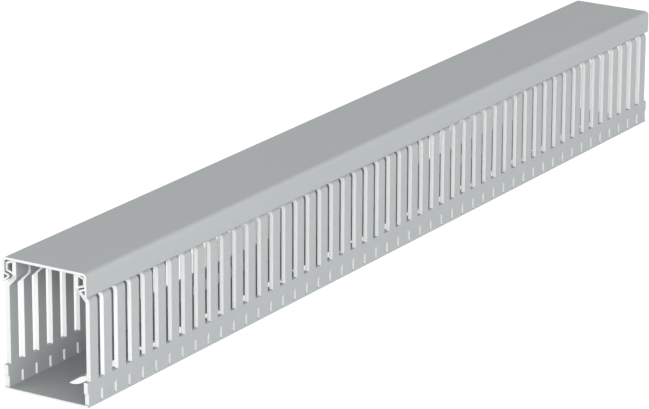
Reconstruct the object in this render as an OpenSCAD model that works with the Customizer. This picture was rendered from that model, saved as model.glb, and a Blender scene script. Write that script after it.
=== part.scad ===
// Slotted wire duct: a punched trough with hollow finger heads, and its clip-on cover.
// The duct lies along Y and stands on its floor at z = 0. All sizes are in millimetres.

/* [Duct] */
// Length of the duct
duct_l = 500; // [100:10:2000]
// Width over the two side walls
duct_w = 43; // [34:0.5:120]
// Height with the cover on
duct_h = 59; // [40:0.5:120]

/* [Trough] */
// Thickness of the side walls and of the fingers
wall_t = 2; // [1.4:0.1:2.6]
// Thickness of the floor
floor_t = 0.9; // [0.8:0.1:1.4]
// Height of the unslotted band at the foot of a wall
band_h = 11; // [8:0.5:16]

/* [Slots] */
// Distance from one slot to the next
slot_pitch = 10; // [8:0.25:14]
// Width of a slot between two fingers
slot_w = 4.25; // [3:0.05:5.5]
// Width of the slit between two finger heads
slit_w = 1.5; // [0.8:0.1:2.5]
// How far a slot runs up the bent neck of its fingers
slot_on_neck = 3.1; // [1:0.1:3.5]
// Height of the shoulder where a slot narrows to its slit
shoulder_h = 2.6; // [0.4:0.1:2.8]
// Width of the short slits under the slots, where fingers break out
break_w = 1.5; // [0.8:0.1:2.5]
// Height of those short slits
break_h = 5.1; // [2:0.1:6]
// Height of their lower end above the top of the floor
break_rise = 0.1; // [0.1:0.1:0.5]

/* [Finger heads] */
// How far the neck sets a finger inwards
neck_in = 4.65; // [4:0.05:5.5]
// Radius of the neck's bends on their hollow side
bend_r = 0.8; // [0.4:0.2:1.2]
// Height of the straight outer wall between the neck and the head
neck_h = 0.5; // [0.5:0.1:1.2]
// Height of the straight inner wall above the neck
head_h = 7.4; // [7:0.1:8.4]
// Thickness of the skin round the hollow of a head
head_skin = 1; // [0.8:0.1:1.2]
// Rise of the underside of a head from the neck to the skirt
head_rise = 1.1; // [0.8:0.1:1.6]
// Width of the slope at the outer top of a head
head_slope_w = 3; // [1.6:0.1:3.2]
// Height of that slope
head_slope_h = 1.1; // [0.8:0.1:1.6]

/* [Cover] */
// Thickness of the cover plate
plate_t = 1.2; // [1:0.1:2]
// Thickness of the skirts
skirt_t = 1.1; // [0.8:0.1:1.5]
// Height of the skirts from the top of the cover
skirt_h = 11; // [10.6:0.1:11.6]
// Outer radius of the long edges
cover_r = 2; // [1.4:0.1:3]
// Clearance between the tip of a snap lip and the necks
tip_gap = 1.05; // [0.85:0.05:1.65]
// Height of a snap lip at its tip
tip_h = 1; // [0.8:0.1:1.1]
// Thickness of the two arms of a snap lip
lip_t = 0.85; // [0.7:0.05:0.95]
// Clearance between the plate and the heads under it
seat_gap = 0.1; // [0.05:0.05:0.3]
// Clearance between a skirt and the heads
side_gap = 0.15; // [0.1:0.05:0.3]
// Clearance between a snap lip and the underside of the heads
snap_gap = 0.5; // [0.3:0.05:0.6]

/* [Mounting holes] */
// Distance from one hole in the floor to the next
hole_pitch = 25; // [20:1:60]
// Width of a hole
hole_w = 6.2; // [4:0.1:8]
// Length of a hole
hole_l = 13; // [9:0.5:18]

/* [Hidden] */
pvc_grey = [0.66, 0.68, 0.68];
arc_step = 15;
bottom_edge = 0.5;
cut_margin = 5;

wall_x = duct_w / 2;
plate_z = duct_h - plate_t;
skirt_z = duct_h - skirt_h;
skirt_x = wall_x - skirt_t;
head_top = plate_z - seat_gap;
head_x = skirt_x - side_gap;
inner_x = wall_x - wall_t - neck_in;
neck_x = inner_x + wall_t;
// The neck bends by 45 degrees and keeps its thickness, so its outer bends sit this much higher.
bend_shift = wall_t * tan(22.5);
neck_top = head_top - head_h;
neck_foot = neck_top - neck_in;
// Both faces of the wall turn round the same centre, on the hollow side of each bend.
bend_outer_r = bend_r + wall_t;
lower_bend = [wall_x - bend_outer_r, neck_foot - bend_r * tan(22.5)];
upper_bend = [inner_x + bend_outer_r, neck_top + bend_outer_r * tan(22.5)];
slot_top = neck_foot + slot_on_neck;
tip_x = neck_x + tip_gap;
lip_foot_x = wall_x - bottom_edge;

// Height of the underside of a head at the distance x from the middle of the duct
function head_under(x) =
    neck_top + bend_shift + neck_h + head_rise * (x - neck_x) / (head_x - neck_x);

// Top and bottom of a snap lip at the distance x: the top follows the head's underside.
function lip_top(x) = head_under(x) - snap_gap;
function lip_bottom(x) =
    skirt_z + (lip_top(tip_x) - tip_h - skirt_z) * (lip_foot_x - x) / (lip_foot_x - tip_x);

// Points along an arc, from one angle to another
function arc(centre, r, from, to) =
    let (steps = abs(to - from) / arc_step)
    [for (i = [0 : steps])
        let (a = from + (to - from) * i / steps)
        centre + r * [cos(a), sin(a)]];

// The right half of a section, given anticlockwise, closed by its own mirror image
function with_mirror(half) =
    concat(half, [for (i = [len(half) - 1 : -1 : 0]) [-half[i].x, half[i].y]]);

// Left-hand normal of the edge from a to b
function normal(a, b) = [a.y - b.y, b.x - a.x] / norm(b - a);

// A convex outline, given anticlockwise, with each side moved inwards by the skin t
function inset(outline, t) =
    [for (i = [0 : len(outline) - 1])
        let (
            here = outline[i],
            before = normal(outline[(i + len(outline) - 1) % len(outline)], here),
            after = normal(here, outline[(i + 1) % len(outline)])
        )
        here + t * (before + after) / (1 + before * after)];

// Extrudes a section, drawn as [across, up], along the whole duct.
module along_duct() {
    rotate([90, 0, 0]) linear_extrude(height = duct_l, center = true) children();
}

// Cuts a shape, drawn as [along, up], across the whole width of the duct.
module across_duct() {
    rotate([90, 0, 90])
        linear_extrude(height = duct_w + 2 * cut_margin, center = true) children();
}

// Floor, walls, necks and finger heads as one section, before anything is punched.
module trough_section() {
    head_side = head_top - head_slope_h;
    polygon(with_mirror(concat(
        [[wall_x, 0]],
        arc(lower_bend, bend_outer_r, 0, 45),
        arc(upper_bend, bend_r, 225, 180),
        [
            [neck_x, head_under(neck_x)],
            [head_x, head_under(head_x)],
            [head_x, head_side],
            [head_x - head_slope_w, head_top],
            [inner_x, head_top],
        ],
        arc(upper_bend, bend_outer_r, 180, 225),
        arc(lower_bend, bend_r, 45, 0),
        [[wall_x - wall_t, floor_t]]
    )));
}

// The closed hollow of a finger head: the head's outline outside the inner wall, less its skin.
module head_hollow() {
    hollow_side = neck_x - head_skin;
    polygon(inset([
        [hollow_side, head_under(hollow_side)],
        [head_x, head_under(head_x)],
        [head_x, head_top - head_slope_h],
        [head_x - head_slope_w, head_top],
        [hollow_side, head_top],
    ], head_skin));
}

// One punched slot: full width between the fingers, a slit between their heads.
module slot_shape() {
    polygon(with_mirror([
        [slot_w / 2, band_h],
        [slot_w / 2, slot_top],
        [slit_w / 2, slot_top + shoulder_h],
        [slit_w / 2, duct_h],
    ]));
}

// One mounting hole through the floor, longer along the duct.
module mounting_hole() {
    straight = hole_l - hole_w;
    for (end = [-1, 1])
        translate([0, end * straight / 2, -cut_margin])
            cylinder(h = floor_t + 2 * cut_margin, d = hole_w, $fn = 48);
    translate([-hole_w / 2, -straight / 2, -cut_margin])
        cube([hole_w, straight, floor_t + 2 * cut_margin]);
}

// The trough is one extrusion. It is cut to length through the middle of a slot at both ends.
module trough() {
    color(pvc_grey) difference() {
        along_duct() difference() {
            trough_section();
            head_hollow();
            mirror([1, 0]) head_hollow();
        }
        for (y = [-duct_l / 2 : slot_pitch : duct_l / 2]) {
            translate([0, y, 0]) across_duct() slot_shape();
            translate([0, y, 0]) across_duct()
                translate([-break_w / 2, floor_t + break_rise]) square([break_w, break_h]);
        }
        for (y = [hole_pitch - duct_l / 2 : hole_pitch : duct_l / 2 - hole_l])
            translate([0, y, 0]) mounting_hole();
    }
}

// Plate and skirts with the snap lips, as a solid section.
module cover_section() {
    // The inner round is half as wide as the heads' slope at most, which keeps it off their corners.
    inner_r = min(max(cover_r - skirt_t, 0.2), head_slope_w / 2);
    corner = tip_h / 3;
    polygon(with_mirror(concat(
        arc([skirt_x - inner_r, plate_z - inner_r], inner_r, 90, 0),
        [
            [skirt_x, lip_top(skirt_x)],
            [tip_x + corner, lip_top(tip_x + corner)],
            [tip_x, lip_top(tip_x) - corner],
            [tip_x, lip_bottom(tip_x) + corner],
            [tip_x + corner, lip_bottom(tip_x + corner)],
            [lip_foot_x, skirt_z],
            [wall_x, skirt_z + bottom_edge],
        ],
        arc([wall_x - cover_r, duct_h - cover_r], cover_r, 0, 90)
    )));
}

// The closed hollow of a snap lip, between its two arms and the skin of the skirt.
module lip_hollow() {
    // The two faces of the lip open by this much for each millimetre, from a line beyond the tip.
    opening = (lip_top(wall_x) - lip_bottom(wall_x) - tip_h) / (wall_x - tip_x);
    apex_x = tip_x - tip_h / opening;
    polygon(inset([
        [apex_x, lip_top(apex_x)],
        [wall_x, lip_bottom(wall_x)],
        [wall_x, lip_top(wall_x)],
    ], lip_t));
}

// The cover is one extrusion that snaps its lips under the finger heads.
module cover() {
    color(pvc_grey) along_duct() difference() {
        cover_section();
        lip_hollow();
        mirror([1, 0]) lip_hollow();
    }
}

trough();
cover();
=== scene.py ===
import math

import bpy
from mathutils import Matrix, Vector


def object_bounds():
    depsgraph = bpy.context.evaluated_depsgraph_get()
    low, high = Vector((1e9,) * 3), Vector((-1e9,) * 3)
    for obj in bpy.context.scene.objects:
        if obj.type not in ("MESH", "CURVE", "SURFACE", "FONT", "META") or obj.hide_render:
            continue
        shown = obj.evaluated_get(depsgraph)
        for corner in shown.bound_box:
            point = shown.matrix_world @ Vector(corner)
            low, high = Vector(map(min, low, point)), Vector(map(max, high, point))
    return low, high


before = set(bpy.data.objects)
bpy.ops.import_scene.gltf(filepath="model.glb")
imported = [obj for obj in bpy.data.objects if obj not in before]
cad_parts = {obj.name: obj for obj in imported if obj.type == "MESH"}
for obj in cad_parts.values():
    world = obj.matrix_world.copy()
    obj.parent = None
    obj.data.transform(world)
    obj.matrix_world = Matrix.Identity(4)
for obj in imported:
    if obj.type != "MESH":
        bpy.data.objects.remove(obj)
cad_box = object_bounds()

scene = bpy.context.scene
scene.view_settings.view_transform = "Standard"
low, high = (Vector(corner) for corner in cad_box)
near_end = Vector((0, low.y, 0))
duct_height = high.z

# ---------------------------------------------------------------------------
# Camera: a long lens to the right of the near end, looking down along the duct.
camera_stand = near_end + Vector((0.9010, -1.2229, 0.5713))
camera_heading = math.radians(31.992)
camera_pitch = math.radians(17.770)
camera_roll = math.radians(0.243)
camera_data = bpy.data.cameras.new("camera")
camera_data.sensor_width = 36
camera_data.lens = 214.0
camera_data.clip_end = 50
camera = bpy.data.objects.new("camera", camera_data)
camera.matrix_world = (
    Matrix.Translation(camera_stand)
    @ Matrix.Rotation(camera_heading, 4, "Z")
    @ Matrix.Rotation(math.pi / 2 - camera_pitch, 4, "X")
    @ Matrix.Rotation(camera_roll, 4, "Z")
)
scene.collection.objects.link(camera)
scene.camera = camera

# ---------------------------------------------------------------------------
# Trough: rigid grey PVC drawn through a die along Y, so its skin is matt with faint lines along the duct.
# The slots and holes are punched and the ends are sawn, which leaves rougher faces there; their pale
# colour is painted light, standing in for the front lamps' brightness on faces that look along Y.


def new_material(name):
    """A node material with its Principled BSDF, which feeds the output."""
    material = bpy.data.materials.new(name)
    material.use_nodes = True
    tree = material.node_tree
    return material, tree, tree.nodes["Principled BSDF"]


def new_effect(name, inputs, outputs):
    """A node group with named float inputs, and outputs of the socket types given."""
    effect = bpy.data.node_groups.new(name, "ShaderNodeTree")
    for title, value in inputs.items():
        socket = effect.interface.new_socket(title, in_out="INPUT", socket_type="NodeSocketFloat")
        socket.default_value = value
    for title, kind in outputs.items():
        effect.interface.new_socket(title, in_out="OUTPUT", socket_type=kind)
    return effect, effect.nodes.new("NodeGroupInput"), effect.nodes.new("NodeGroupOutput")


def feed(tree, source, socket):
    """Links an output to a socket, or sets the socket where the source is a plain value."""
    if isinstance(source, bpy.types.NodeSocket):
        tree.links.new(source, socket)
    else:
        socket.default_value = source


def math_node(tree, operation, first, second=0.0):
    """first operation second, by the name of Blender's math operation."""
    node = tree.nodes.new("ShaderNodeMath")
    node.operation = operation
    feed(tree, first, node.inputs[0])
    feed(tree, second, node.inputs[1])
    return node.outputs[0]


def ramp(tree, value, start, end):
    """0 below start, 1 above end, and a smooth step between them."""
    node = tree.nodes.new("ShaderNodeMapRange")
    node.interpolation_type = "SMOOTHSTEP"
    feed(tree, value, node.inputs["Value"])
    node.inputs["From Min"].default_value = start
    node.inputs["From Max"].default_value = end
    return node.outputs["Result"]


def stretched_noise(tree, per_metre, detail=2.0):
    """Noise on the piece's own coordinates, with so many grains per metre along X, Y and Z."""
    place = tree.nodes.new("ShaderNodeTexCoord")
    stretch = tree.nodes.new("ShaderNodeMapping")
    stretch.inputs["Scale"].default_value = per_metre
    noise = tree.nodes.new("ShaderNodeTexNoise")
    noise.inputs["Scale"].default_value = 1.0
    noise.inputs["Detail"].default_value = detail
    tree.links.new(place.outputs["Object"], stretch.inputs["Vector"])
    tree.links.new(stretch.outputs["Vector"], noise.inputs["Vector"])
    return noise.outputs["Fac"]


def centred(tree, value, strength):
    """(value - 0.5) * strength: a tone that swings about zero."""
    return math_node(tree, "MULTIPLY", math_node(tree, "SUBTRACT", value, 0.5), strength)


# The die leaves fine and broad lines along Y, and the melt dries a little cloudy.
die_skin, given, made = new_effect(
    "die_skin",
    {"Fine Lines": 0.05, "Broad Lines": 0.04, "Cloud": 0.05, "Speckle": 0.05},
    {"Tone": "NodeSocketFloat", "Height": "NodeSocketFloat"},
)
fine = stretched_noise(die_skin, (1500, 5, 1500))
broad = stretched_noise(die_skin, (260, 1.5, 260))
cloud = stretched_noise(die_skin, (30, 14, 30), 3.0)
speckle = stretched_noise(die_skin, (3500, 3500, 3500), 1.0)
tone = 1.0
patterns = {"Fine Lines": fine, "Broad Lines": broad, "Cloud": cloud, "Speckle": speckle}
for title, pattern in patterns.items():
    swing = centred(die_skin, pattern, given.outputs[title])
    tone = math_node(die_skin, "ADD", swing, tone)
feed(die_skin, tone, made.inputs["Tone"])
lines = math_node(die_skin, "MULTIPLY", fine, 0.6)
grit = math_node(die_skin, "MULTIPLY", speckle, 0.4)
feed(die_skin, math_node(die_skin, "ADD", lines, grit), made.inputs["Height"])

# Sawn and punched faces look along Y. Their marks run across the wall; their near-white tone is painted
# light, and near the ends it is darkened as painted shade so the strongly lit end faces stay below white.
cut_face, given, made = new_effect(
    "cut_face",
    {"Marks": 0.1, "End Shade": 0.15, "End Distance": 0.2475},
    {"Mask": "NodeSocketFloat", "Tone": "NodeSocketFloat", "Height": "NodeSocketFloat"},
)
facing = cut_face.nodes.new("ShaderNodeSeparateXYZ")
geometry = cut_face.nodes.new("ShaderNodeNewGeometry")
cut_face.links.new(geometry.outputs["True Normal"], facing.inputs[0])
along = math_node(cut_face, "ABSOLUTE", facing.outputs["Y"])
feed(cut_face, ramp(cut_face, along, 0.7, 0.9), made.inputs["Mask"])
marks = stretched_noise(cut_face, (250, 250, 2600))
punched = math_node(cut_face, "ADD", centred(cut_face, marks, given.outputs["Marks"]), 1.0)
place = cut_face.nodes.new("ShaderNodeTexCoord")
spot = cut_face.nodes.new("ShaderNodeSeparateXYZ")
cut_face.links.new(place.outputs["Object"], spot.inputs[0])
# Painted shade: cut faces within the last few millimetres of each end are darkened by End Shade so the
# strongly lit end faces stay below white.
distance = math_node(cut_face, "ABSOLUTE", spot.outputs["Y"])
at_end = math_node(cut_face, "GREATER_THAN", distance, given.outputs["End Distance"])
shade = math_node(cut_face, "MULTIPLY", at_end, given.outputs["End Shade"])
feed(cut_face, math_node(cut_face, "SUBTRACT", punched, shade), made.inputs["Tone"])
feed(cut_face, marks, made.inputs["Height"])

# Handling rounds each edge by a hair and polishes it paler.
soft_edge, given, made = new_effect(
    "soft_edge",
    {"Radius": 0.0003},
    {"Mask": "NodeSocketFloat", "Normal": "NodeSocketVector"},
)
rounding = soft_edge.nodes.new("ShaderNodeBevel")
rounding.samples = 6
feed(soft_edge, given.outputs["Radius"], rounding.inputs["Radius"])
geometry = soft_edge.nodes.new("ShaderNodeNewGeometry")
turn = soft_edge.nodes.new("ShaderNodeVectorMath")
turn.operation = "DOT_PRODUCT"
soft_edge.links.new(rounding.outputs["Normal"], turn.inputs[0])
soft_edge.links.new(geometry.outputs["True Normal"], turn.inputs[1])
turned = math_node(soft_edge, "SUBTRACT", 1.0, turn.outputs["Value"])
feed(soft_edge, ramp(soft_edge, turned, 0.02, 0.3), made.inputs["Mask"])
feed(soft_edge, rounding.outputs["Normal"], made.inputs["Normal"])


def place_effect(tree, effect, values):
    """The effect's group node in a material, with the values given for its inputs."""
    node = tree.nodes.new("ShaderNodeGroup")
    node.node_tree = effect
    for title, value in values.items():
        node.inputs[title].default_value = value
    return node


def mixed(tree, factor, first, second, kind="RGBA"):
    """first where the factor is 0 and second where it is 1."""
    node = tree.nodes.new("ShaderNodeMix")
    node.data_type = kind
    feed(tree, factor, node.inputs["Factor"])
    feed(tree, first, [socket for socket in node.inputs if socket.name == "A" and socket.enabled][0])
    feed(tree, second, [socket for socket in node.inputs if socket.name == "B" and socket.enabled][0])
    return [socket for socket in node.outputs if socket.enabled][0]


def shaded(tree, colour, tone):
    """A colour made lighter or darker by a tone about 1."""
    node = tree.nodes.new("ShaderNodeVectorMath")
    node.operation = "SCALE"
    feed(tree, colour, node.inputs[0])
    feed(tree, tone, node.inputs["Scale"])
    return node.outputs["Vector"]


def duct_plastic(name, skin_colour, wear_and_painted_light_colour, edge_share, roughness, lines, marks):
    """Extruded PVC: a lined matt skin, rough cut faces painted pale as painted light, and slightly paler
    worn edges.
    """
    rougher_cut = 0.2
    relief = 0.00006
    material, tree, shader = new_material(name)
    skin = place_effect(tree, die_skin, lines)
    cut = place_effect(tree, cut_face, {"Marks": marks})
    edge = place_effect(tree, soft_edge, {})
    skin_tone = shaded(tree, skin_colour, skin.outputs["Tone"])
    # Painted light: faces that look along Y take the near-white colour, which stands in for the
    # brightness the front lamps throw on them.
    cut_painted_light_tone = shaded(tree, wear_and_painted_light_colour, cut.outputs["Tone"])
    worn = math_node(tree, "MULTIPLY", edge.outputs["Mask"], edge_share)
    # Real wear: worn edges are paled towards the same pale colour.
    paled = mixed(tree, worn, skin_tone, (*wear_and_painted_light_colour, 1))
    feed(tree, mixed(tree, cut.outputs["Mask"], paled, cut_painted_light_tone), shader.inputs["Base Color"])
    rough_skin = math_node(tree, "MULTIPLY", skin.outputs["Tone"], roughness)
    rough_cut = math_node(tree, "MULTIPLY", cut.outputs["Mask"], rougher_cut)
    feed(tree, math_node(tree, "ADD", rough_skin, rough_cut), shader.inputs["Roughness"])
    shader.inputs["Specular IOR Level"].default_value = 0.35
    bump = tree.nodes.new("ShaderNodeBump")
    bump.inputs["Strength"].default_value = 0.35
    bump.inputs["Distance"].default_value = relief
    height = mixed(tree, cut.outputs["Mask"], skin.outputs["Height"], cut.outputs["Height"], "FLOAT")
    feed(tree, height, bump.inputs["Height"])
    feed(tree, edge.outputs["Normal"], bump.inputs["Normal"])
    feed(tree, bump.outputs["Normal"], shader.inputs["Normal"])
    return material


pvc_grey = (0.328, 0.346, 0.350)
# The pale colour below is painted light on the cut faces that look along Y, and real wear on the paled
# edges.
pvc_wear_and_painted_light = (0.83, 0.84, 0.84)


def dress(node, material):
    """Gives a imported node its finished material."""
    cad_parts[node].data.materials.clear()
    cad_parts[node].data.materials.append(material)


trough_lines = {"Fine Lines": 0.07, "Broad Lines": 0.05, "Cloud": 0.05, "Speckle": 0.05}
trough_plastic = duct_plastic(
    "trough_plastic",
    skin_colour=pvc_grey,
    wear_and_painted_light_colour=pvc_wear_and_painted_light,
    edge_share=0.25,
    roughness=0.56,
    lines=trough_lines,
    marks=0.12,
)
dress("trough", trough_plastic)

# ---------------------------------------------------------------------------
# Cover: the same PVC drawn as a flat plate with two skirts, clipped on by hand and so a little more
# worn. Its plate shows the broad lines of the die best.
cover_lines = {"Fine Lines": 0.06, "Broad Lines": 0.06, "Cloud": 0.05, "Speckle": 0.05}
cover_plastic = duct_plastic(
    "cover_plastic",
    skin_colour=pvc_grey,
    wear_and_painted_light_colour=pvc_wear_and_painted_light,
    edge_share=0.3,
    roughness=0.54,
    lines=cover_lines,
    marks=0.12,
)
dress("cover", cover_plastic)

# ---------------------------------------------------------------------------
# Studio: a pale floor that runs out to white. The air gives soft even light, and wide lamps stand
# before the near end, to the right and, weaker, to the left.
floor_half = 4.0
floor_mesh = bpy.data.meshes.new("studio_floor")
floor_corners = [
    (-floor_half, -floor_half, 0),
    (floor_half, -floor_half, 0),
    (floor_half, floor_half, 0),
    (-floor_half, floor_half, 0),
]
floor_mesh.from_pydata(floor_corners, [], [(0, 1, 2, 3)])
studio_floor = bpy.data.objects.new("studio_floor", floor_mesh)
scene.collection.objects.link(studio_floor)

floor_material, tree, floor_shader = new_material("floor_white")
floor_shader.inputs["Base Color"].default_value = (0.8, 0.8, 0.8, 1)
floor_shader.inputs["Roughness"].default_value = 1
floor_mesh.materials.append(floor_material)


def seen_directly(tree):
    """1 for a ray that shows the surface to the camera, also by way of gloss or glass."""
    path = tree.nodes.new("ShaderNodeLightPath")
    straight = math_node(tree, "MAXIMUM", path.outputs["Is Camera Ray"], path.outputs["Is Glossy Ray"])
    return math_node(tree, "MAXIMUM", straight, path.outputs["Is Transmission Ray"])


floor_glow = tree.nodes.new("ShaderNodeEmission")
floor_glow.inputs["Color"].default_value = (1, 1, 1, 1)
floor_glow.inputs["Strength"].default_value = 0.87
glow_and_paint = tree.nodes.new("ShaderNodeAddShader")
floor_mix = tree.nodes.new("ShaderNodeMixShader")
faint_paint = tree.nodes.new("ShaderNodeBsdfDiffuse")
faint_paint.inputs["Color"].default_value = (0.22, 0.22, 0.22, 1)
output = tree.nodes["Material Output"]
tree.links.new(floor_glow.outputs[0], glow_and_paint.inputs[0])
tree.links.new(faint_paint.outputs[0], glow_and_paint.inputs[1])
tree.links.new(seen_directly(tree), floor_mix.inputs[0])
tree.links.new(floor_shader.outputs[0], floor_mix.inputs[1])
tree.links.new(glow_and_paint.outputs[0], floor_mix.inputs[2])
tree.links.new(floor_mix.outputs[0], output.inputs["Surface"])

world = bpy.data.worlds.new("studio_air")
scene.world = world
world.use_nodes = True
tree = world.node_tree
background = tree.nodes["Background"]
background.inputs["Color"].default_value = (1, 1, 1, 1)
background.inputs["Strength"].default_value = 0.63
white_backdrop = tree.nodes.new("ShaderNodeBackground")
white_backdrop.inputs["Color"].default_value = (1, 1, 1, 1)
white_backdrop.inputs["Strength"].default_value = 1
world_mix = tree.nodes.new("ShaderNodeMixShader")
tree.links.new(seen_directly(tree), world_mix.inputs[0])
tree.links.new(background.outputs[0], world_mix.inputs[1])
tree.links.new(white_backdrop.outputs[0], world_mix.inputs[2])
tree.links.new(world_mix.outputs[0], tree.nodes["World Output"].inputs["Surface"])


lamp_size = 1.6
lamp_distance = 3


def softbox(name, heading, rise, power):
    """A square lamp aimed at the duct, at degrees from -Y towards +X and degrees above the floor."""
    turn = math.radians(heading)
    lift = math.radians(rise)
    level = math.cos(lift)
    outward = Vector((math.sin(turn) * level, -math.cos(turn) * level, math.sin(lift)))
    lamp = bpy.data.lights.new(name, "AREA")
    lamp.size = lamp_size
    lamp.energy = power
    stand = bpy.data.objects.new(name, lamp)
    stand.location = lamp_distance * outward + Vector((0, 0, duct_height / 2))
    stand.rotation_euler = (-outward).to_track_quat("-Z", "Y").to_euler()
    scene.collection.objects.link(stand)


softbox("lamp_near", 32, 18, 36)
softbox("lamp_near_right", 60, 18, 20)
softbox("lamp_right", 90, 15, 34)
softbox("lamp_left", -45, 20, 22)
